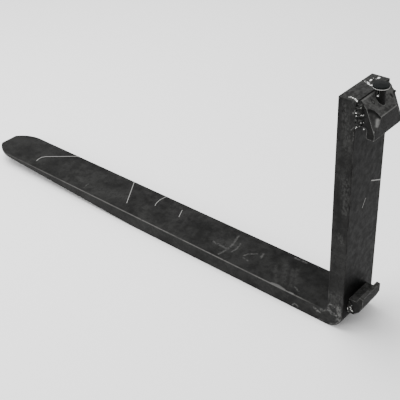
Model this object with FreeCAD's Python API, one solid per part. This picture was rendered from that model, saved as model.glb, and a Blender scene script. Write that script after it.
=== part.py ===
"""Hook-type fork arm for a forklift or telehandler carriage, class 2A.

The frame: X runs across the arm, the blade points along -Y, +Z is up.
The origin is the foot of the carriage face: mid width, on the plane of the
shank's rear face, at the level of the blade's underside. Millimetres.
"""

import FreeCAD
import Part
import math
import os

# Forged arm: one flat bar, bent at the heel and drawn to a thin tip
WIDTH = 115.0
THICKNESS = 37.0
BLADE_LENGTH = 1150.0
TAPER_START = 581.0
TIP_THICKNESS = 6.5
HEEL_OUTER_RADIUS = 40.0
HEEL_INNER_RADIUS = 10.0
TIP_FLAT_HALF = 27.0
TIP_ROUNDING = 77.0
TIP_BULGE_X = 49.0
TIP_BULGE_BACK = 32.0
EDGE_RADIUS = 2.0

# Carriage that the hooks hang on
CARRIAGE_CLEAR_OF_FLOOR = 76.0
CARRIAGE_HEIGHT = 407.0
HOOK_PLAY = 2.0
BAR_LIP_THICKNESS = 16.0
SLOT_PLAY = 2.0
SLOT_DEPTH = BAR_LIP_THICKNESS + SLOT_PLAY
BOTTOM_SLOT_EXTRA_GRIP = 1.0

# Top hook
TOP_HOOK_WIDTH = 94.0
TOP_HOOK_REACH = 34.0
TOP_HOOK_FALL = 33.0
TOP_HOOK_WEB = 51.0
TOP_LIP_DROP = 21.0
SLOT_CORNER_RADIUS = 4.0
LIP_CHAMFER = 3.0
SCOOP_AXIS_OUT = 11.0
SCOOP_APEX_RADIUS = 12.0
SCOOP_APEX_ABOVE_LIP = 13.0
SCOOP_FLARE = 0.4

# Bottom hook
BOTTOM_HOOK_WIDTH = 68.0
BOTTOM_HOOK_REACH = 31.5
BOTTOM_LIP_HEIGHT = 13.5
BOTTOM_LIP_LEAN = 6.3
BOTTOM_LIP_CROWN = 1.0
BOTTOM_REAR_DROP = 19.5
BOTTOM_TOE_IN = 7.0
BOTTOM_TOE_DROP = 17.5
BOTTOM_FOOT_REACH = 12.0
BOTTOM_HOOK_HEIGHT = 36.5

# Lock pin, its sleeve and spring
NOSE_RADIUS = 4.0
NOSE_BELOW_SLOT = 8.0
NOSE_CHAMFER = 1.2
STEM_RADIUS = 2.5
SLEEVE_RADIUS = 9.5
SLEEVE_ABOVE_SHANK = 9.0
SLEEVE_SUNK = 12.0
SLEEVE_CHAMFER = 1.0
RUNNING_GAP = 0.1
SEAT_GAP = 0.3
PIN_LIFT = 10.0
SPRING_ROOM = 17.0
SPRING_WIRE = 1.2
SPRING_TURNS = 5
SPRING_STATIONS = 12
SPRING_END_GAP = 0.15
SPRING_SIDES = 6
INDEX_PIN_RADIUS = 1.5
INDEX_PIN_STANDS_OUT = 0.5
INDEX_ABOVE_LEDGE = 7.0
SLEEVE_CROWN = 2.0
KNOB_RADIUS = 15.5
KNOB_EDGE = 0.8
KNOB_RIM = 4.4
KNOB_SHOULDER = 1.2
KNOB_SHOULDER_WIDTH = 5.0
KNOB_CROWN = 0.8
KNOB_STEM_DEPTH = 4.0

# Weld beads
BEAD_LEG = 7.0
BEAD_SWELL = 1.2
BEAD_RUN_OUT = 4.0
BEAD_ROOT = 3.0
BOTTOM_BEAD_LEG = 6.0

# Levels that follow from the sizes above
SLOT_FLOOR_Z = CARRIAGE_CLEAR_OF_FLOOR - HOOK_PLAY
SLOT_TOP_Z = CARRIAGE_CLEAR_OF_FLOOR + CARRIAGE_HEIGHT + HOOK_PLAY
SHANK_HEIGHT = SLOT_TOP_Z + TOP_HOOK_WEB
TOP_LIP_Z = SLOT_TOP_Z - TOP_LIP_DROP
HOOK_REAR_TOP_Z = SHANK_HEIGHT - TOP_HOOK_FALL
SLEEVE_TOP_Z = SHANK_HEIGHT + SLEEVE_ABOVE_SHANK
INDEX_Z = SLEEVE_TOP_Z - SLEEVE_CROWN - PIN_LIFT - INDEX_PIN_RADIUS
LEDGE_Z = INDEX_Z - INDEX_ABOVE_LEDGE
SHOULDER_Z = LEDGE_Z - SPRING_ROOM
SLEEVE_FOOT_Z = SHOULDER_Z - SLEEVE_SUNK
NOSE_END_Z = SLOT_TOP_Z - NOSE_BELOW_SLOT
KNOB_Z = SLEEVE_TOP_Z + SEAT_GAP

# The pin comes down against the slot's rear wall, where the bar's notch is
PIN_AXIS_Y = SLOT_DEPTH - NOSE_RADIUS


def point(x, y, z):
    return FreeCAD.Vector(x, y, z)


def side_profile(points):
    """Closed wire in the YZ plane through (y, z) points."""
    corners = [point(0, y, z) for y, z in points]
    return Part.makePolygon(corners + corners[:1])


def across(profile, width):
    """Prism of a YZ profile, running across the arm."""
    prism = Part.Face(profile).extrude(point(width, 0, 0))
    prism.translate(point(-width / 2.0, 0, 0))
    return prism


def rod(radius, foot, top):
    """Upright cylinder on the lock pin's axis."""
    return Part.makeCylinder(radius, top - foot, point(0, PIN_AXIS_Y, foot))


def arm_side_wire():
    """Side view of the arm: shank, heel and blade, with the underside tapered."""
    inner_y = -THICKNESS - HEEL_INNER_RADIUS
    inner_z = THICKNESS + HEEL_INNER_RADIUS
    tip_y = -THICKNESS - BLADE_LENGTH
    taper_y = -THICKNESS - TAPER_START
    heel = HEEL_OUTER_RADIUS
    half_turn = math.sqrt(0.5)
    inner_mid = HEEL_INNER_RADIUS * (1 - half_turn)
    heel_mid = heel * (1 - half_turn)
    top_rear = point(0, 0, SHANK_HEIGHT)
    top_front = point(0, -THICKNESS, SHANK_HEIGHT)
    fillet_top = point(0, -THICKNESS, inner_z)
    fillet_mid = point(0, -THICKNESS - inner_mid, THICKNESS + inner_mid)
    fillet_end = point(0, inner_y, THICKNESS)
    tip_top = point(0, tip_y, THICKNESS)
    tip_low = point(0, tip_y, THICKNESS - TIP_THICKNESS)
    taper = point(0, taper_y, 0)
    heel_low = point(0, -heel, 0)
    heel_middle = point(0, -heel_mid, heel_mid)
    heel_high = point(0, 0, heel)
    return Part.Wire([
        Part.makeLine(top_rear, top_front),
        Part.makeLine(top_front, fillet_top),
        Part.Arc(fillet_top, fillet_mid, fillet_end).toShape(),
        Part.makeLine(fillet_end, tip_top),
        Part.makeLine(tip_top, tip_low),
        Part.makeLine(tip_low, taper),
        Part.makeLine(taper, heel_low),
        Part.Arc(heel_low, heel_middle, heel_high).toShape(),
        Part.makeLine(heel_high, top_rear),
    ])


def arm_plan_wire():
    """Plan of the arm: parallel sides and a blunt rounded tip."""
    half = WIDTH / 2.0
    tip_y = -THICKNESS - BLADE_LENGTH
    shoulder_y = tip_y + TIP_ROUNDING
    bulge_y = tip_y + TIP_BULGE_BACK
    right = Part.Arc(
        point(TIP_FLAT_HALF, tip_y, 0),
        point(TIP_BULGE_X, bulge_y, 0),
        point(half, shoulder_y, 0),
    )
    left = Part.Arc(
        point(-half, shoulder_y, 0),
        point(-TIP_BULGE_X, bulge_y, 0),
        point(-TIP_FLAT_HALF, tip_y, 0),
    )
    tip = Part.makeLine(point(-TIP_FLAT_HALF, tip_y, 0), point(TIP_FLAT_HALF, tip_y, 0))
    side = Part.makeLine(point(half, shoulder_y, 0), point(half, 0, 0))
    rear = Part.makeLine(point(half, 0, 0), point(-half, 0, 0))
    other_side = Part.makeLine(point(-half, 0, 0), point(-half, shoulder_y, 0))
    return Part.Wire([tip, right.toShape(), side, rear, other_side, left.toShape()])


def along_a_side(edge):
    """True for the long edges of the two sides, which the forging leaves rounded."""
    box = edge.BoundBox
    on_side = box.XMin > WIDTH / 2.0 - EDGE_RADIUS or box.XMax < EDGE_RADIUS - WIDTH / 2.0
    return on_side and box.YMin > -THICKNESS - TAPER_START and box.DiagonalLength > EDGE_RADIUS


def fork_arm():
    bar = across(arm_side_wire(), WIDTH)
    plan = Part.Face(arm_plan_wire()).extrude(point(0, 0, SHANK_HEIGHT))
    arm = bar.common(plan).Solids[0]
    edges = [edge for edge in arm.Edges if along_a_side(edge)]
    return arm.makeFillet(EDGE_RADIUS, edges)


def slot_wire_points(inner_y):
    """Square corner of a hook's slot, eased by a short facet."""
    ease = SLOT_CORNER_RADIUS
    return [(inner_y, SLOT_TOP_Z - ease), (inner_y - ease, SLOT_TOP_Z)]


def scoop(side):
    """Cone that hollows one rear corner of the top hook."""
    half = TOP_HOOK_WIDTH / 2.0
    axis_y = TOP_HOOK_REACH + SCOOP_AXIS_OUT
    apex_z = TOP_LIP_Z + SCOOP_APEX_ABOVE_LIP
    rise = SHANK_HEIGHT - apex_z
    fall = SCOOP_APEX_RADIUS / SCOOP_FLARE
    foot = point(side * half, axis_y, apex_z - fall)
    return Part.makeCone(0, SCOOP_APEX_RADIUS + rise * SCOOP_FLARE, fall + rise, foot)


def top_hook():
    body = across(side_profile(
        [(0, SHANK_HEIGHT), (TOP_HOOK_REACH, HOOK_REAR_TOP_Z), (TOP_HOOK_REACH, TOP_LIP_Z)]
        + [(SLOT_DEPTH + LIP_CHAMFER, TOP_LIP_Z), (SLOT_DEPTH, TOP_LIP_Z + LIP_CHAMFER)]
        + slot_wire_points(SLOT_DEPTH)
        + [(0, SLOT_TOP_Z)]
    ), TOP_HOOK_WIDTH)
    for side in (-1, 1):
        body = body.cut(scoop(side))
    bore = rod(NOSE_RADIUS + RUNNING_GAP, TOP_LIP_Z, SHANK_HEIGHT)
    socket = rod(SLEEVE_RADIUS, SLEEVE_FOOT_Z, SHANK_HEIGHT + SLEEVE_RADIUS)
    return body.cut(bore).cut(socket)


def bottom_hook():
    floor = SLOT_FLOOR_Z
    foot = floor - BOTTOM_HOOK_HEIGHT
    slot_end = SLOT_DEPTH - BOTTOM_SLOT_EXTRA_GRIP
    lip_front = slot_end + BOTTOM_LIP_LEAN
    rear_low = floor + BOTTOM_LIP_HEIGHT - BOTTOM_LIP_CROWN - BOTTOM_REAR_DROP
    toe_z = rear_low - BOTTOM_TOE_DROP
    return across(side_profile([
        (0, floor),
        (slot_end, floor),
        (lip_front, floor + BOTTOM_LIP_HEIGHT),
        (BOTTOM_HOOK_REACH, floor + BOTTOM_LIP_HEIGHT - BOTTOM_LIP_CROWN),
        (BOTTOM_HOOK_REACH, rear_low),
        (BOTTOM_HOOK_REACH - BOTTOM_TOE_IN, toe_z),
        (BOTTOM_FOOT_REACH, foot),
        (0, foot),
    ]), BOTTOM_HOOK_WIDTH)


def bead_section(leg):
    """Swollen corner section of a weld, with its root sunk past both faces."""
    swell = leg / 2.0 + BEAD_SWELL
    heel = point(-BEAD_ROOT, -BEAD_ROOT, 0)
    along = point(leg, -BEAD_ROOT, 0)
    toe = point(leg, 0, 0)
    crown = point(swell, swell, 0)
    other_toe = point(0, leg, 0)
    up = point(-BEAD_ROOT, leg, 0)
    return Part.Wire([
        Part.makeLine(heel, along),
        Part.makeLine(along, toe),
        Part.Arc(toe, crown, other_toe).toShape(),
        Part.makeLine(other_toe, up),
        Part.makeLine(up, heel),
    ])


def standing_bead(side, half_width, foot, top, leg, carriers):
    """Bead that climbs the side of a hook and joins it to the carriage face."""
    bead = Part.Face(bead_section(leg)).extrude(point(0, 0, top - foot))
    if side < 0:
        bead = bead.mirror(point(0, 0, 0), point(1, 0, 0))
    bead.translate(point(side * half_width, 0, foot))
    for carrier in carriers:
        bead = bead.cut(carrier)
    return largest(bead)


def lying_bead(width, level, leg, carriers):
    """Bead that runs across the arm under a hook."""
    bead = Part.Face(bead_section(leg)).extrude(point(0, 0, width))
    turn = FreeCAD.Matrix(0, 0, 1, -width / 2.0, 1, 0, 0, 0, 0, -1, 0, level)
    bead = bead.transformGeometry(turn)
    for carrier in carriers:
        bead = bead.cut(carrier)
    return largest(bead)


def largest(shape):
    """The one bead that is left outside the pieces it joins."""
    return max(shape.Solids, key=lambda solid: solid.Volume)


def lock_pin():
    nose = rod(NOSE_RADIUS, NOSE_END_Z, SHOULDER_Z)
    rims = [edge for edge in nose.Edges if edge.BoundBox.ZMax < NOSE_END_Z + 0.1]
    nose = nose.makeChamfer(NOSE_CHAMFER, rims)
    stem = rod(STEM_RADIUS, SHOULDER_Z, KNOB_Z + KNOB_STEM_DEPTH)
    return nose.fuse(stem).removeSplitter().cut(index_pin())


def index_pin():
    """Cross pin through the stem, which keeps the lock pin in its sleeve."""
    length = 2 * (SLEEVE_RADIUS + INDEX_PIN_STANDS_OUT)
    return Part.makeCylinder(INDEX_PIN_RADIUS, length,
                             point(-length / 2.0, PIN_AXIS_Y, INDEX_Z), point(1, 0, 0))


def pin_sleeve():
    """Sleeve screwed into the hook, with a ledge over the spring and a slot for the index pin."""
    body = rod(SLEEVE_RADIUS, SLEEVE_FOOT_Z, SLEEVE_TOP_Z)
    rims = [edge for edge in body.Edges if edge.BoundBox.ZMin > SLEEVE_TOP_Z - 0.1]
    body = body.makeChamfer(SLEEVE_CHAMFER, rims)
    body = body.cut(rod(NOSE_RADIUS + RUNNING_GAP, SLEEVE_FOOT_Z, LEDGE_Z))
    body = body.cut(rod(STEM_RADIUS + RUNNING_GAP, LEDGE_Z, SLEEVE_TOP_Z))
    reach = INDEX_PIN_RADIUS + SEAT_GAP
    slot = Part.makeBox(4 * SLEEVE_RADIUS, 2 * reach, PIN_LIFT + 2 * reach,
                        point(-2 * SLEEVE_RADIUS, PIN_AXIS_Y - reach, INDEX_Z - reach))
    return body.cut(slot)


def spring_section(turn, radius, foot, rise):
    """Six-sided section of the spring's wire, after so many turns."""
    angle = 2 * math.pi * turn
    outward = point(math.cos(angle), math.sin(angle), 0)
    middle = outward * radius + point(0, PIN_AXIS_Y, foot + rise * turn)
    corners = []
    for side in range(SPRING_SIDES):
        bend = 2 * math.pi * side / SPRING_SIDES
        spread = outward * math.cos(bend) + point(0, 0, math.sin(bend))
        corners.append(middle + spread * (SPRING_WIRE / 2.0))
    return Part.makePolygon(corners + corners[:1])


def pin_spring():
    """Wound wire between the pin's shoulder and the sleeve's ledge."""
    radius = (STEM_RADIUS + NOSE_RADIUS) / 2.0 + RUNNING_GAP
    foot = SHOULDER_Z + SPRING_END_GAP + SPRING_WIRE / 2.0
    rise = (SPRING_ROOM - 2 * SPRING_END_GAP - SPRING_WIRE) / SPRING_TURNS
    stations = SPRING_TURNS * SPRING_STATIONS
    sections = [
        spring_section(station / SPRING_STATIONS, radius, foot, rise)
        for station in range(stations + 1)
    ]
    return Part.makeLoft(sections, True, True)


def pin_knob():
    """Flat button on top of the pin, with a broad bevel."""
    shoulder_z = KNOB_Z + KNOB_RIM + KNOB_SHOULDER
    outline = Part.makePolygon([
        point(0, 0, KNOB_Z),
        point(KNOB_RADIUS - KNOB_EDGE, 0, KNOB_Z),
        point(KNOB_RADIUS, 0, KNOB_Z + KNOB_EDGE),
        point(KNOB_RADIUS, 0, KNOB_Z + KNOB_RIM),
        point(KNOB_RADIUS - KNOB_EDGE, 0, KNOB_Z + KNOB_RIM + KNOB_EDGE),
        point(KNOB_RADIUS - KNOB_SHOULDER_WIDTH, 0, shoulder_z),
        point(0, 0, shoulder_z + KNOB_CROWN),
        point(0, 0, KNOB_Z),
    ])
    knob = Part.Face(outline).revolve(point(0, 0, 0), point(0, 0, 1), 360)
    knob.translate(point(0, PIN_AXIS_Y, 0))
    return knob.cut(rod(STEM_RADIUS, KNOB_Z, KNOB_Z + KNOB_STEM_DEPTH))


def pieces():
    arm = fork_arm()
    upper = top_hook()
    lower = bottom_hook()
    lower_foot = SLOT_FLOOR_Z - BOTTOM_HOOK_HEIGHT
    made = {"fork_arm": arm, "top_hook": upper, "bottom_hook": lower}
    for name, side in (("near", 1), ("far", -1)):
        made["top_hook_weld_" + name] = standing_bead(
            side, TOP_HOOK_WIDTH / 2.0, SLOT_TOP_Z + BEAD_RUN_OUT, SHANK_HEIGHT - BEAD_LEG,
            BEAD_LEG, (arm, upper))
        made["bottom_hook_weld_" + name] = standing_bead(
            side, BOTTOM_HOOK_WIDTH / 2.0, lower_foot + BEAD_RUN_OUT, SLOT_FLOOR_Z - BEAD_RUN_OUT,
            BOTTOM_BEAD_LEG, (arm, lower))
    made["bottom_hook_weld_under"] = lying_bead(
        BOTTOM_HOOK_WIDTH - BEAD_RUN_OUT, lower_foot, BOTTOM_BEAD_LEG, (arm, lower))
    made["lock_pin"] = lock_pin()
    made["index_pin"] = index_pin()
    made["pin_sleeve"] = pin_sleeve()
    made["pin_spring"] = pin_spring()
    made["pin_knob"] = pin_knob()
    return made


def main():
    os.makedirs("parts", exist_ok=True)
    for name, shape in pieces().items():
        if len(shape.Solids) != 1 or not shape.isValid():
            raise ValueError(name + " is not one sound solid")
        shape.Solids[0].exportStep("parts/" + name + ".step")
        box = shape.BoundBox
        print(name, round(shape.Volume), [round(v, 1) for v in (
            box.XMin, box.XMax, box.YMin, box.YMax, box.ZMin, box.ZMax)])


main()
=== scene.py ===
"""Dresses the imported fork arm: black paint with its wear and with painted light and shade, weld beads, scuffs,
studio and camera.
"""

import bmesh
import bpy
import math
import random
from mathutils import Matrix, Vector, noise


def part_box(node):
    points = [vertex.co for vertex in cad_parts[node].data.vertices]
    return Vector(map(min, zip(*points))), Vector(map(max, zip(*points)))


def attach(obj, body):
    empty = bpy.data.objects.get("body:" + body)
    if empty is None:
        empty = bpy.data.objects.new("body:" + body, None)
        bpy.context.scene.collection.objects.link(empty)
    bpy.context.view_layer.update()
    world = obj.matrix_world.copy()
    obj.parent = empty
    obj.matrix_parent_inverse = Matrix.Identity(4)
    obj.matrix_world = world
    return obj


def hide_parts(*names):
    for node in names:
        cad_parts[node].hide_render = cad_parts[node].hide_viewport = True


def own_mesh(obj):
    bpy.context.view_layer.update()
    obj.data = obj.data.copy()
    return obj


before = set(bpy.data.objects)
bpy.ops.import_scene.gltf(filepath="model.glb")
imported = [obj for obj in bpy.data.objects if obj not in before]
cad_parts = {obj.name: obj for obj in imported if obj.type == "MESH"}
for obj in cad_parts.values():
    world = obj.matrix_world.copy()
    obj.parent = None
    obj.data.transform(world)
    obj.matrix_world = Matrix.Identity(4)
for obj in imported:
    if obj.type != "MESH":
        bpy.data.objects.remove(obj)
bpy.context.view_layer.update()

MM = 0.001

# Sizes read from the frame, in metres
ARM_LOW, ARM_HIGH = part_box("fork_arm")
HOOK_LOW, HOOK_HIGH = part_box("top_hook")
KNOB_LOW, KNOB_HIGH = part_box("pin_knob")
HALF_WIDTH = ARM_HIGH[0]
SHANK_TOP = ARM_HIGH[2]
THICKNESS = 37 * MM
SLOPE_FALL = 33 / 34

# Camera solved from the photograph, in degrees, metres and pixels
CAMERA_AZIMUTH = 132.8681
CAMERA_ELEVATION = 33.8707
CAMERA_ROLL = -3.4383
CAMERA_PLACE = Vector((1.13576, 0.62471, 1.17237))
FOCAL_PIXELS = 795.034
CENTRE_X = 201.14
CENTRE_Y = 198.144
FRAME_PIXELS = 400
SENSOR_MM = 36.0

# Marks, each a half width and a route, in millimetres on the face they lie on
BLADE_SCRATCHES = (
    (0.9, ((31, -1022), (22, -1025), (11, -1025), (1, -1019), (-55, -945))),
    (0.7, ((-57, -721), (27, -665))),
    (0.7, ((-56, -603), (-36, -606), (-18, -603), (-8, -598))),
    (0.6, ((-35, -529), (-8, -516))),
)
BLADE_SCUFFS = (
    (2.4, ((17, -382), (20, -354), (19, -339))),
    (2.4, ((46, -341), (22, -337), (1, -338), (-35, -348))),
    (1.8, ((22, -323), (5, -320), (-14, -326))),
    (1.8, ((16, -291), (5, -287), (-8, -270))),
    (1.8, ((23, -288), (26, -272))),
    (2.6, ((-1, -255), (-16, -259))),
    (1.8, ((36, -135), (42, -119))),
    (2.4, ((-48, -193), (-49, -161))),
    (1.6, ((44, -809), (26, -813))),
)
BLADE_HAZE = (
    (5.0, ((55, -171), (5, -209))),
    (6.0, ((39, -161), (-17, -197))),
    (4.0, ((38, -144), (-10, -172))),
    (5.0, ((23, -140), (-15, -165))),
    (15.0, ((27, -765), (10, -688))),
    (6.0, ((19, -862), (26, -835))),
    (16.0, ((14, -372), (-4, -330))),
)
WIDE_EDGE_WEAR = (
    (4.2, ((57, -182), (55, -166), (58, -149))),
    (2.2, ((57, -133), (56, -126))),
)
SIDE_SCUFFS = (
    (1.5, ((-125, 5), (-119, 13), (-110, 11), (-112, 1))),
    (3.0, ((-69, 28), (-61, 25), (-56, 24))),
    (4.6, ((-50, 33), (-41, 43), (-37, 46))),
    (3.8, ((-33, 42), (-24, 37), (-15, 38))),
    (1.5, ((-34, 56), (-28, 62), (-19, 57))),
    (5.6, ((-10, 60), (-8, 42), (-8, 22))),
    (2.6, ((-9, 20), (-18, 7))),
    (2.6, ((-57, 2), (-45, 2))),
    (1.8, ((-30, 6), (-19, 11))),
    (1.0, ((-938, 19), (-935, 20))),
    (1.3, ((-5, 512), (0, 520))),
    (1.3, ((-6, 479), (0, 486))),
    (1.0, ((-7, 534), (-4, 525))),
    (0.8, ((-2, 476), (-2, 458))),
)
SIDE_HAZE = (
    (12.0, ((-30, 82), (-5, 86))),
    (9.0, ((-32, 56), (-10, 62))),
    (9.0, ((-12, 372), (-8, 300))),
    (7.0, ((-16, 240), (-12, 228))),
    (8.0, ((-22, 520), (-12, 440))),
)
REAR_SCRATCHES = (
    (1.1, ((-19, 336), (-55, 320))),
    (0.7, ((-1, 305), (9, 288))),
)
# Painted shade on the rear face, above the bottom hook's slot
REAR_SHADE_PATCHES = (
    (17.0, ((38, 97), (-6, 92))),
    (12.0, ((-6, 88), (-30, 78))),
)
WELD_RUN_OVER = ((50, -19), (49, -16), (49, -12), (50, -9), (51, -6), (53, -3), (55, 0))
RING_MARK = (21, 12)
DARK_SPOT = (-31, 19)
# Painted highlight on the top hook's scoop
SCOOP_HIGHLIGHT = ((2.2, ((37, 489), (33, 499))), (1.0, ((46, 482), (45, 480))))
TOP_WELD_SPOTS = (
    (1.8, 49, 4.5, 492), (1.3, 50, 4, 489), (1.5, 54, 1.5, 486), (1.2, 56, 1, 484),
    (1.5, 47.3, 12.5, 482), (1.2, 47.5, 5.5, 522), (1.1, 50, 4, 519), (1.4, 56, 1, 508),
)
BOTTOM_WELD_SPOTS = (
    (1.0, 37, 1, 60), (1.3, 37, 3, 58.4), (1.4, 37, 5.5, 56.4), (1.0, 37, 7.5, 54.8),
    (1.0, 37, 4.5, 52.8), (1.4, 37, 7, 51), (1.5, 37, 9.5, 49.2), (1.0, 37, 11.5, 47.8),
    (1.6, 40.5, 1.5, 53),
)
FAR_WELD_LUMP = (-46.5, 17, 519.5)
PAINT_SMEARS = (
    (2.1, ((-20, -29), (-16, -20))),
    (3.0, ((-17, -21), (-13, -13))),
    (1.5, ((-27, -23), (-36, -25))),
    (2.1, ((-38, -24), (-40, -19), (-48, -17))),
)


def make_camera():
    az = math.radians(CAMERA_AZIMUTH)
    el = math.radians(CAMERA_ELEVATION)
    roll = math.radians(CAMERA_ROLL)
    back = Vector((math.sin(az) * math.cos(el), -math.cos(az) * math.cos(el), math.sin(el)))
    right = Vector((0, 0, 1)).cross(back).normalized()
    up = back.cross(right)
    turned_right = right * math.cos(roll) + up * math.sin(roll)
    turned_up = up * math.cos(roll) - right * math.sin(roll)
    data = bpy.data.cameras.new("camera")
    data.sensor_width = SENSOR_MM
    data.sensor_fit = "HORIZONTAL"
    data.lens = FOCAL_PIXELS / FRAME_PIXELS * SENSOR_MM
    data.shift_x = (FRAME_PIXELS / 2 - CENTRE_X) / FRAME_PIXELS
    data.shift_y = (CENTRE_Y - FRAME_PIXELS / 2) / FRAME_PIXELS
    data.clip_end = 50
    camera = bpy.data.objects.new("camera", data)
    turn = Matrix((turned_right, turned_up, back)).transposed().to_4x4()
    camera.matrix_world = Matrix.Translation(CAMERA_PLACE) @ turn
    bpy.context.collection.objects.link(camera)
    bpy.context.scene.camera = camera


def area_light(name, place, aim, size, watts):
    data = bpy.data.lights.new(name, "AREA")
    data.shape = "RECTANGLE"
    data.size = size[0]
    data.size_y = size[1]
    data.energy = watts
    lamp = bpy.data.objects.new(name, data)
    lamp.location = place
    lamp.rotation_euler = (Vector(aim) - Vector(place)).to_track_quat("-Z", "Y").to_euler()
    bpy.context.collection.objects.link(lamp)


def make_studio():
    world = bpy.data.worlds.new("studio")
    world.use_nodes = True
    background = world.node_tree.nodes["Background"]
    background.inputs["Color"].default_value = (1, 1, 1, 1)
    background.inputs["Strength"].default_value = 0.95
    bpy.context.scene.world = world
    middle = (0, -0.5, 0.1)
    area_light("key", (0.2, -1.5, 2.8), middle, (2.6, 2.6), 150)
    area_light("side", (3.0, -1.0, 1.6), (0, -0.2, 0.3), (1.2, 1.2), 40)
    mesh = bpy.data.meshes.new("floor")
    reach = 12.0
    mesh.from_pydata([(-reach, -reach, 0), (reach, -reach, 0), (reach, reach, 0), (-reach, reach, 0)],
                     [], [(0, 1, 2, 3)])
    floor = bpy.data.objects.new("floor", mesh)
    bpy.context.collection.objects.link(floor)
    matter = bpy.data.materials.new("floor_white")
    matter.use_nodes = True
    shader = matter.node_tree.nodes["Principled BSDF"]
    shader.inputs["Base Color"].default_value = (0.96, 0.96, 0.96, 1)
    shader.inputs["Roughness"].default_value = 0.9
    shader.inputs["Specular IOR Level"].default_value = 0.1
    floor.data.materials.append(matter)


class Graph:
    """Small helper that adds and links shader nodes."""

    def __init__(self, name):
        self.material = bpy.data.materials.new(name)
        self.material.use_nodes = True
        self.tree = self.material.node_tree
        self.shader = self.tree.nodes["Principled BSDF"]
        self.place = self.tree.nodes.new("ShaderNodeTexCoord").outputs["Object"]
        parts = self.tree.nodes.new("ShaderNodeSeparateXYZ")
        self.link(self.place, parts.inputs[0])
        self.x, self.y, self.z = parts.outputs
        self.ruffle = None

    def link(self, source, target):
        self.tree.links.new(source, target)

    def feed(self, socket, value):
        if isinstance(value, bpy.types.NodeSocket):
            self.link(value, socket)
        else:
            socket.default_value = value

    def maths(self, operation, first, second=0.0):
        node = self.tree.nodes.new("ShaderNodeMath")
        node.operation = operation
        self.feed(node.inputs[0], first)
        self.feed(node.inputs[1], second)
        return node.outputs[0]

    def times(self, *factors):
        product = factors[0]
        for factor in factors[1:]:
            product = self.maths("MULTIPLY", product, factor)
        return product

    def vector(self, operation, first, second, output="Vector"):
        node = self.tree.nodes.new("ShaderNodeVectorMath")
        node.operation = operation
        self.feed(node.inputs[0], first)
        self.feed(node.inputs["Scale" if operation == "SCALE" else 1], second)
        return node.outputs[output]

    def noise(self, scale, detail=4.0, roughness=0.55, stretch=None, distortion=0.0, output="Fac"):
        node = self.tree.nodes.new("ShaderNodeTexNoise")
        node.inputs["Scale"].default_value = scale
        node.inputs["Detail"].default_value = detail
        node.inputs["Roughness"].default_value = roughness
        node.inputs["Distortion"].default_value = distortion
        self.link(self.stretched(stretch), node.inputs["Vector"])
        return node.outputs[output]

    def stretched(self, stretch):
        if stretch is None:
            return self.place
        node = self.tree.nodes.new("ShaderNodeMapping")
        node.inputs["Scale"].default_value = stretch
        self.link(self.place, node.inputs["Vector"])
        return node.outputs["Vector"]

    def step(self, value, low, high, out_low=0.0, out_high=1.0):
        node = self.tree.nodes.new("ShaderNodeMapRange")
        node.interpolation_type = "SMOOTHSTEP"
        self.feed(node.inputs["Value"], value)
        node.inputs["From Min"].default_value = low
        node.inputs["From Max"].default_value = high
        node.inputs["To Min"].default_value = out_low
        node.inputs["To Max"].default_value = out_high
        return node.outputs["Result"]

    def mix(self, share, first, second):
        node = self.tree.nodes.new("ShaderNodeMix")
        node.data_type = "RGBA"
        self.feed(node.inputs["Factor"], share)
        self.feed(node.inputs[6], first)
        self.feed(node.inputs[7], second)
        return node.outputs[2]

    def bump(self, height, depth, below=None):
        node = self.tree.nodes.new("ShaderNodeBump")
        node.inputs["Distance"].default_value = depth
        self.feed(node.inputs["Height"], height)
        if below is not None:
            self.link(below, node.inputs["Normal"])
        return node.outputs["Normal"]

    def sharp_edges(self, reach):
        """How far the surface turns within a short reach, from 0 on flats to 1 at corners."""
        bevel = self.tree.nodes.new("ShaderNodeBevel")
        bevel.samples = 6
        bevel.inputs["Radius"].default_value = reach
        facing = self.tree.nodes.new("ShaderNodeNewGeometry").outputs["Normal"]
        alike = self.vector("DOT_PRODUCT", bevel.outputs["Normal"], facing, "Value")
        return self.step(self.maths("SUBTRACT", 1.0, alike), 0.02, 0.2)

    def flat(self, across, along, wobble):
        """Two of the object's axes in millimetres, ruffled a little so that marks look torn."""
        joined = self.tree.nodes.new("ShaderNodeCombineXYZ")
        self.link(self.maths("MULTIPLY", across, 1 / MM), joined.inputs[0])
        self.link(self.maths("MULTIPLY", along, 1 / MM), joined.inputs[1])
        if self.ruffle is None:
            swirl = self.noise(210.0, 3.0, 0.6, output="Color")
            self.ruffle = self.vector("SUBTRACT", swirl, (0.5, 0.5, 0.5))
        moved = self.vector("ADD", joined.outputs[0], self.vector("SCALE", self.ruffle, wobble))
        return self.vector("MULTIPLY", moved, (1.0, 1.0, 0.0))

    def nearest(self, flat, strokes):
        """Distance to the nearest stroke, as a share of that stroke's half width."""
        least = None
        for half_width, route in strokes:
            for start, end in zip(route, route[1:]):
                run = Vector((end[0] - start[0], end[1] - start[1], 0))
                away = self.vector("SUBTRACT", flat, (start[0], start[1], 0))
                reach = self.vector("DOT_PRODUCT", away, run / run.length_squared, "Value")
                along = self.maths("MINIMUM", self.maths("MAXIMUM", reach, 0.0), 1.0)
                foot = self.vector("SCALE", tuple(run), along)
                gap = self.vector("DISTANCE", away, foot, "Value")
                share = self.maths("DIVIDE", gap, half_width)
                least = share if least is None else self.maths("MINIMUM", least, share)
        return least

    def marks(self, flat, strokes, soft=0.35):
        return self.step(self.nearest(flat, strokes), 1 - soft, 1 + soft, 1.0, 0.0)


def grey(level, tint=(1.0, 1.0, 0.97)):
    return (level * tint[0], level * tint[1], level * tint[2], 1.0)


def dress(node, material):
    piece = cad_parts[node]
    piece.data.materials.clear()
    piece.data.materials.append(material)


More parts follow.
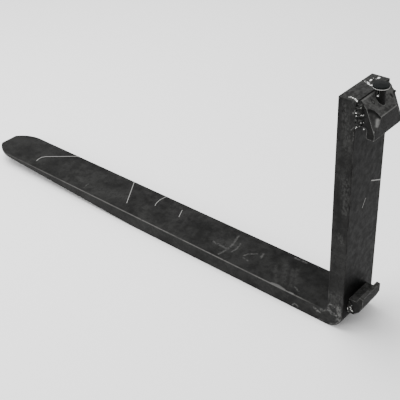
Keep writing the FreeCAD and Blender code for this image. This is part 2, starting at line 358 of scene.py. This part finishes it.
def paint_coat(g, base, mottling, rough):
    """Satin black coat: clouds, mottling and grain in its tone, pits and gloss patches."""
    cloud = g.noise(13.0, 3.0, 0.5)
    mottle = g.noise(70.0, 5.0, 0.62)
    grain = g.noise(330.0, 4.0, 0.7)
    tone = g.step(cloud, 0.32, 0.68, 1.0 - 0.5 * mottling, 1.0 + 0.5 * mottling)
    blots = g.step(mottle, 0.34, 0.7, 1.0 - 0.45 * mottling, 1.0 + 0.9 * mottling)
    speckle = g.step(grain, 0.3, 0.7, 0.7, 1.35)
    level = g.times(tone, blots, speckle, 0.5)
    colour = g.mix(g.maths("MINIMUM", level, 1.0), grey(base * 0.1), grey(base * 1.9))
    g.link(g.step(mottle, 0.3, 0.72, rough - 0.06, rough + 0.16), g.shader.inputs["Roughness"])
    g.shader.inputs["Specular IOR Level"].default_value = 0.05
    pits = g.bump(mottle, 0.35 * MM)
    g.link(g.bump(grain, 0.09 * MM, below=pits), g.shader.inputs["Normal"])
    return colour


def broken(g, scale=55.0, low=0.36, high=0.6):
    return g.step(g.noise(scale, 5.0, 0.7), low, high)


def arm_material():
    """The arm's coat with its rubbed edges, scratches, scuffs, dust and paint smears, and painted shade on its rear
    face and by the heel.
    """
    g = Graph("arm_black")
    colour = paint_coat(g, 0.0100, 0.8, 0.46)
    side = g.maths("ABSOLUTE", g.x)
    beyond_flat = g.step(side, HALF_WIDTH - 2.0 * MM, HALF_WIDTH - 1.3 * MM)
    on_top = g.times(g.step(g.z, THICKNESS - 0.5 * MM, THICKNESS - 0.3 * MM),
                     g.step(g.y, -THICKNESS - 9 * MM, -THICKNESS - 6 * MM, 1.0, 0.0))
    on_near = g.step(g.x, HALF_WIDTH - 0.6 * MM, HALF_WIDTH - 0.3 * MM)
    on_rear = g.step(g.y, -0.4 * MM, -0.2 * MM)
    on_crown = g.step(g.z, SHANK_TOP - 0.4 * MM, SHANK_TOP - 0.2 * MM)

    # Painted shade: the rear face and the blade close to the heel are darkened to the darkest tone, for the shade they
    # lie in
    colour = g.mix(g.maths("MULTIPLY", on_rear, 0.6), colour, grey(0.001))
    heel_shade = g.times(on_top, g.step(g.y, -0.5, -0.2), 0.3)
    colour = g.mix(heel_shade, colour, grey(0.002))

    # Rubbed edges: bright along the blade's top, faint up the shank
    blade_edge = g.times(beyond_flat, g.step(g.z, THICKNESS - 2.2 * MM, THICKNESS - 1.4 * MM),
                         g.step(g.z, THICKNESS + 4 * MM, THICKNESS + 9 * MM, 1.0, 0.0),
                         g.step(g.noise(16.0, 4.0, 0.6, stretch=(0, 1, 0)), 0.28, 0.52, 0.45, 1.0),
                         g.step(g.y, -1.16, -0.75, 0.4, 1.0), broken(g, 140.0, 0.25, 0.5),
                         g.step(g.y, -125 * MM, -60 * MM, 1.0, 0.0))
    shank_edge = g.times(beyond_flat, g.step(g.z, THICKNESS, THICKNESS + 40 * MM),
                         g.step(g.maths("ABSOLUTE", g.maths("ADD", g.y, THICKNESS / 2)),
                                THICKNESS / 2 - 1.6 * MM, THICKNESS / 2 - 1.0 * MM),
                         broken(g, 34.0, 0.42, 0.66))
    low_edge = g.times(beyond_flat, g.step(g.z, 1.2 * MM, 2.2 * MM, 1.0, 0.0), broken(g, 45.0, 0.45, 0.7))
    colour = g.mix(g.maths("MULTIPLY", shank_edge, 0.5), colour, grey(0.05))
    colour = g.mix(g.maths("MULTIPLY", low_edge, 0.4), colour, grey(0.05))
    colour = g.mix(g.maths("MULTIPLY", blade_edge, 0.9), colour, grey(0.085, (1.0, 0.985, 0.94)))

    # Dusty bands that the eye finds on the blade near the heel and up the shank's side
    haze = g.times(g.step(g.noise(34.0, 6.0, 0.68, stretch=(1.0, 0.6, 0.55)), 0.46, 0.72),
                   g.maths("SUBTRACT", 1.0, on_rear), 0.45)
    colour = g.mix(haze, colour, grey(0.02))

    torn = broken(g, 150.0, 0.34, 0.6)
    clouded = g.times(g.marks(g.flat(g.x, g.y, 8.0), BLADE_HAZE, 0.8), on_top, torn)
    colour = g.mix(g.maths("MULTIPLY", clouded, 0.8), colour, grey(0.024))
    scuffs = g.times(g.marks(g.flat(g.x, g.y, 6.0), BLADE_SCUFFS, 0.7), on_top, torn)
    colour = g.mix(g.maths("MULTIPLY", scuffs, 0.85), colour, grey(0.06))
    fine_blade = g.flat(g.x, g.y, 0.5)
    scratches = g.times(g.marks(fine_blade, BLADE_SCRATCHES), on_top)
    colour = g.mix(g.maths("MULTIPLY", scratches, 0.92), colour, grey(0.3))
    wide = g.times(g.marks(g.flat(g.x, g.y, 2.2), WIDE_EDGE_WEAR), g.step(g.z, THICKNESS - 3 * MM, THICKNESS - 1 * MM))
    colour = g.mix(g.maths("MULTIPLY", wide, 0.75), colour, grey(0.085))

    flank = g.flat(g.y, g.z, 8.0)
    dusted = g.times(g.marks(g.flat(g.y, g.z, 9.0), SIDE_HAZE, 0.7), on_near,
                     g.step(g.noise(210.0, 4.0, 0.7, stretch=(1.0, 1.0, 0.6)), 0.42, 0.6))
    colour = g.mix(g.maths("MULTIPLY", dusted, 0.75), colour, grey(0.034))
    knocks = g.times(g.marks(flank, SIDE_SCUFFS, 0.6), on_near, broken(g, 230.0, 0.4, 0.6))
    colour = g.mix(g.maths("MULTIPLY", knocks, 0.85), colour, grey(0.1))

    rear = g.flat(g.x, g.z, 1.0)
    # Painted shade: a dark patch on the rear face above the bottom hook's slot
    slot_shade = g.times(g.marks(rear, REAR_SHADE_PATCHES, 0.3), on_rear)
    colour = g.mix(g.maths("MULTIPLY", slot_shade, 0.5), colour, grey(0.0005))
    rear_lines = g.times(g.marks(rear, REAR_SCRATCHES), on_rear)
    colour = g.mix(g.maths("MULTIPLY", rear_lines, 0.85), colour, grey(0.3))

    crown = g.flat(g.x, g.y, 5.0)
    colour = g.mix(g.times(on_crown, g.step(g.noise(150.0, 4.0, 0.65), 0.36, 0.62)), colour, grey(0.028))
    smears = g.times(g.marks(crown, PAINT_SMEARS, 0.25), on_crown, broken(g, 150.0, 0.49, 0.54))
    colour = g.mix(smears, colour, grey(0.8, (1.0, 1.0, 0.98)))
    g.link(colour, g.shader.inputs["Base Color"])
    return g.material


def hook_material(name, base, seam_level=None):
    """Flame-cut steel under black paint: rough, with dust and painted light on what faces up, painted light, shade and
    highlight in its slanted hollows, and rubbed edges.
    """
    g = Graph(name)
    colour = paint_coat(g, base, 0.8, 0.5)
    facing = g.tree.nodes.new("ShaderNodeNewGeometry").outputs["Normal"]
    rise = g.vector("DOT_PRODUCT", facing, (0, 0, 1), "Value")
    upward = g.step(rise, 0.42, 0.68)
    pocks = g.noise(230.0, 4.0, 0.7)
    # Dust and painted light: faces that point up are lighter, in mottles
    dust_and_top_light = g.times(upward, g.step(g.noise(110.0, 5.0, 0.75), 0.36, 0.64, 0.25, 1.0))
    colour = g.mix(dust_and_top_light, colour, grey(0.068))
    hollow = g.times(g.step(rise, 0.15, 0.3), g.step(rise, 0.42, 0.55, 1.0, 0.0))
    # Painted light: the slanted faces of the hollows are lighter, in patches
    hollow_light = g.step(g.noise(75.0, 3.0, 0.5), 0.34, 0.6, 0.35, 0.9)
    colour = g.mix(g.times(hollow, hollow_light), colour, grey(0.045))
    under_slope = g.maths("SUBTRACT", g.maths("SUBTRACT", SHANK_TOP, g.maths("MULTIPLY", g.y, SLOPE_FALL)), g.z)
    shaded = g.times(g.step(under_slope, 2.0 * MM, 6.5 * MM, 0.85, 0.0), hollow)
    colour = g.mix(shaded, colour, grey(0.002))
    # Painted highlight on the scoop's slanted face
    shine = g.times(g.marks(g.flat(g.x, g.z, 4.0), SCOOP_HIGHLIGHT, 1.0), hollow, broken(g, 120.0, 0.2, 0.6))
    colour = g.mix(shine, colour, grey(0.17))
    edges = g.times(g.sharp_edges(2.2 * MM), broken(g, 90.0, 0.3, 0.55))
    colour = g.mix(g.maths("MULTIPLY", edges, 0.9), colour, grey(0.15))
    if seam_level is not None:
        by_shank = g.times(g.step(g.y, 1.3 * MM, 2.1 * MM, 1.0, 0.0),
                           g.step(g.z, seam_level, seam_level + 2 * MM))
        around = g.vector("DISTANCE", g.flat(g.x, g.y, 0.6), (RING_MARK[0], RING_MARK[1], 0), "Value")
        ring = g.times(g.step(g.maths("ABSOLUTE", g.maths("SUBTRACT", around, 2.8)), 0.4, 0.9, 1.0, 0.0),
                       upward)
        colour = g.mix(g.maths("MULTIPLY", ring, 0.8), colour, grey(0.005))
        off_spot = g.vector("DISTANCE", g.flat(g.x, g.y, 1.5), (DARK_SPOT[0], DARK_SPOT[1], 0), "Value")
        spot = g.times(g.step(off_spot, 2.0, 3.6, 0.9, 0.0), upward)
        colour = g.mix(spot, colour, grey(0.004))
        ridge = g.times(g.step(g.y, 1.6 * MM, 2.4 * MM), g.step(g.y, 3.6 * MM, 4.6 * MM, 1.0, 0.0),
                        g.step(g.z, seam_level, seam_level + 2 * MM))
        colour = g.mix(g.maths("MULTIPLY", ridge, 0.75), colour, grey(0.11))
        brow = g.times(g.step(g.y, HOOK_HIGH[1] - 2.0 * MM, HOOK_HIGH[1] - 1.0 * MM), upward)
        colour = g.mix(g.maths("MULTIPLY", brow, 0.75), colour, grey(0.12))
        colour = g.mix(g.maths("MULTIPLY", by_shank, 0.95), colour, grey(0.002))
    g.link(colour, g.shader.inputs["Base Color"])
    g.link(g.bump(pocks, 0.45 * MM, below=g.bump(g.noise(60.0, 3.0), 0.6 * MM)),
           g.shader.inputs["Normal"])
    return g.material


def weld_material():
    """Painted weld whose crests are rubbed to bright steel."""
    g = Graph("weld_black")
    colour = paint_coat(g, 0.013, 0.7, 0.42)
    crest = g.tree.nodes.new("ShaderNodeAttribute")
    crest.attribute_name = "crest"
    bright = g.step(g.maths("ADD", crest.outputs["Fac"], g.step(g.noise(130.0), 0.3, 0.7, -0.25, 0.25)),
                    0.9, 1.15)
    rubbed = g.step(g.maths("ADD", crest.outputs["Fac"], g.step(g.noise(210.0), 0.3, 0.7, -0.25, 0.25)),
                    0.5, 0.85)
    colour = g.mix(g.maths("MULTIPLY", rubbed, 0.7), colour, grey(0.05))
    colour = g.mix(bright, colour, grey(0.62))
    g.link(colour, g.shader.inputs["Base Color"])
    g.link(g.maths("MULTIPLY", bright, 0.5), g.shader.inputs["Metallic"])
    return g.material


def knob_material():
    """Semi-gloss button with a painted highlight along its lower rim."""
    g = Graph("knob_black")
    colour = paint_coat(g, 0.0035, 0.5, 0.34)
    middle_y = (KNOB_LOW[1] + KNOB_HIGH[1]) / 2
    away = g.maths("ADD", g.times(g.x, g.x), g.maths("POWER", g.maths("SUBTRACT", g.y, middle_y), 2.0))
    radius = g.maths("SQRT", away)
    rim_radius = KNOB_HIGH[0]
    # Painted highlight: the knob's lower rim is lighter
    rim_highlight = g.times(g.step(radius, rim_radius - 1.2 * MM, rim_radius - 0.6 * MM),
                  g.step(g.z, KNOB_LOW[2] + 1.3 * MM, KNOB_LOW[2] + 2.1 * MM, 1.0, 0.0),
                  broken(g, 40.0, 0.2, 0.42))
    tinted = g.mix(0.5, colour, (0.003, 0.0046, 0.005, 1.0))
    g.link(g.mix(rim_highlight, tinted, grey(0.36)), g.shader.inputs["Base Color"])
    return g.material


def turned_steel(name, level, rough, metal=0.85):
    g = Graph(name)
    rings = g.noise(420.0, 3.0, 0.6, stretch=(0.15, 0.15, 3.0))
    stain = g.step(g.noise(60.0, 4.0), 0.35, 0.7)
    g.link(g.mix(stain, grey(level), grey(level * 0.45)), g.shader.inputs["Base Color"])
    g.link(g.step(rings, 0.2, 0.8, rough - 0.1, rough + 0.15), g.shader.inputs["Roughness"])
    g.shader.inputs["Metallic"].default_value = metal
    g.link(g.bump(rings, 0.08 * MM), g.shader.inputs["Normal"])
    return g.material


BEAD_STATIONS_PER_MM = 2.2
BEAD_SIDES = 16
ROOT_SUNK = 0.8 * MM
RIPPLE_PITCH = 3.1 * MM


def bead_height(run, turn, length, legs, lumps, seed):
    """Radius of a bead's section, and its crest value, at a place along and around it."""
    ripple_phase = run / RIPPLE_PITCH + 0.7 * math.cos(2 * turn)
    ripple = abs(math.sin(math.pi * ripple_phase)) ** 0.6
    spot = Vector((run / MM * 0.21, turn * 1.7, seed * 7.3))
    lump = noise.fractal(spot, 0.9, 2.1, 4)
    ends = min(run, length - run) / (0.9 * legs[0])
    taper = math.sqrt(min(1.0, max(0.0, ends))) * 0.8 + 0.2
    across = legs[0] * math.cos(turn) ** 2 + legs[1] * math.sin(turn) ** 2
    radius = across * taper * (0.84 + 0.1 * ripple) + lumps * lump
    return max(radius, 0.15 * across), 0.22 * ripple + 0.8 * lump + 0.3


def weld_bead(node, place, length, legs, lumps, seed, drops=()):
    """Rippled bead in a corner: place(run, a, b) gives the point a and b out from its two faces."""
    shape = bmesh.new()
    crest = shape.verts.layers.float.new("crest")
    stations = int(length / MM * BEAD_STATIONS_PER_MM)
    rings = []
    for station in range(stations + 1):
        run = length * station / stations
        ring = []
        for side in range(BEAD_SIDES + 1):
            turn = math.pi / 2 * side / BEAD_SIDES
            radius, high = bead_height(run, turn, length, legs, lumps, seed)
            out = [radius * math.cos(turn), radius * math.sin(turn)]
            if side == 0:
                out[1] = -ROOT_SUNK
            if side == BEAD_SIDES:
                out[0] = -ROOT_SUNK
            vertex = shape.verts.new(place(run, out[0], out[1]))
            vertex[crest] = high
            ring.append(vertex)
        ring.append(shape.verts.new(place(run, -ROOT_SUNK, -ROOT_SUNK)))
        rings.append(ring)
    count = len(rings[0])
    for low, high in zip(rings, rings[1:]):
        for index in range(count):
            after = (index + 1) % count
            shape.faces.new((low[index], low[after], high[after], high[index]))
    shape.faces.new(rings[0])
    shape.faces.new(rings[-1])
    draws = random.Random(seed + 100)
    for centre, radius, shine in drops:
        tilt = Matrix.Rotation(draws.uniform(0, math.pi), 4, (0.3, draws.uniform(-1, 1), 1))
        drawn_out = Matrix.Diagonal((draws.uniform(0.6, 1.0), draws.uniform(0.6, 1.0), draws.uniform(1.0, 1.5), 1))
        made = bmesh.ops.create_icosphere(shape, subdivisions=2, radius=radius,
                                          matrix=Matrix.Translation(centre) @ tilt @ drawn_out)
        for vertex in made["verts"]:
            vertex[crest] = shine
    bmesh.ops.recalc_face_normals(shape, faces=shape.faces)
    mesh = bpy.data.meshes.new(node + "_look")
    shape.to_mesh(mesh)
    shape.free()
    for face in mesh.polygons:
        face.use_smooth = True
    bead = bpy.data.objects.new(node + "_look", mesh)
    bpy.context.collection.objects.link(bead)
    mesh.materials.append(WELD)
    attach(bead, "fork")
    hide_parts(node)


def standing_bead(node, swell, lumps, seed, drop_count=0, grow=0.0, drops=()):
    """Bead up the side of a hook, in the corner with the shank's rear face."""
    low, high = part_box(node)
    side = 1 if high[0] > 0 else -1
    wall = low[0] if side > 0 else high[0]
    legs = ((high[0] - low[0]) * swell[0], (high[1] - low[1]) * swell[1])
    widest = HALF_WIDTH - abs(wall)

    def place(run, out_x, out_y):
        return Vector((wall + side * min(out_x, widest), out_y, low[2] - grow + run))

    picks = random.Random(seed)
    drops = list(drops)
    for _ in range(drop_count):
        height = picks.uniform(low[2] - 6 * MM, high[2] + 2 * MM)
        radius = picks.uniform(0.5, 1.3) * MM
        if picks.random() < 0.5:
            spot = Vector((wall, picks.uniform(6, 14) * MM, height))
        else:
            spot = Vector((wall + side * picks.uniform(6, 9) * MM, 0, height))
        drops.append((spot, radius, picks.choice((0.2, 0.5, 0.95))))
    weld_bead(node, place, high[2] - low[2] + 2 * grow, legs, lumps, seed, drops)


def coil_spring():
    """The latch's spring, held at its upper end, as a fixed copy of its part on the fork's body."""
    coil = bpy.data.objects.new("pin_spring_look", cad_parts["pin_spring"].data.copy())
    bpy.context.collection.objects.link(coil)
    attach(coil, "fork")
    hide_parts("pin_spring")
    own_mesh(coil)


def bright_drops(spots):
    return [(Vector((x, y, z)) * MM, radius * MM, 1.5) for radius, x, y, z in spots]


def lying_bead(node, lumps, seed):
    """Bead under the bottom hook, in the corner with the shank's rear face."""
    low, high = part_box(node)

    def place(run, out_y, out_z):
        return Vector((low[0] + run, out_y, high[2] - out_z))

    weld_bead(node, place, high[0] - low[0], (high[1] - low[1], high[2] - low[2]), lumps, seed)


make_camera()
make_studio()

dress("fork_arm", arm_material())
dress("top_hook", hook_material("top_hook_black", 0.011, HOOK_HIGH[2] - 12 * MM))
dress("bottom_hook", hook_material("bottom_hook_black", 0.011))
dress("pin_sleeve", hook_material("sleeve_black", 0.005))
dress("pin_knob", knob_material())
dress("lock_pin", turned_steel("pin_steel", 0.35, 0.35))
dress("index_pin", turned_steel("index_steel", 0.9, 0.3, 0.25))
dress("pin_spring", turned_steel("spring_steel", 0.3, 0.35))

WELD = weld_material()
for bead in [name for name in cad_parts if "_weld_" in name]:
    dress(bead, WELD)
run_over = [(Vector((x * MM, y * MM, SHANK_TOP)), (1.1 + 0.7 * (x % 2)) * MM, 1.5)
            for x, y in WELD_RUN_OVER]
standing_bead("top_hook_weld_near", (1.5, 1.5), 2.4 * MM, 3, 6, 5.5 * MM,
              run_over + bright_drops(TOP_WELD_SPOTS))
standing_bead("top_hook_weld_far", (1.3, 1.3), 1.8 * MM, 5, 7, 4 * MM,
              [(Vector(FAR_WELD_LUMP) * MM, 2.2 * MM, 0.2)])
standing_bead("bottom_hook_weld_near", (1.2, 1.2), 1.3 * MM, 8, 4, drops=bright_drops(BOTTOM_WELD_SPOTS))
standing_bead("bottom_hook_weld_far", (1.1, 1.1), 1.0 * MM, 11, 3)
lying_bead("bottom_hook_weld_under", 0.8 * MM, 14)
coil_spring()
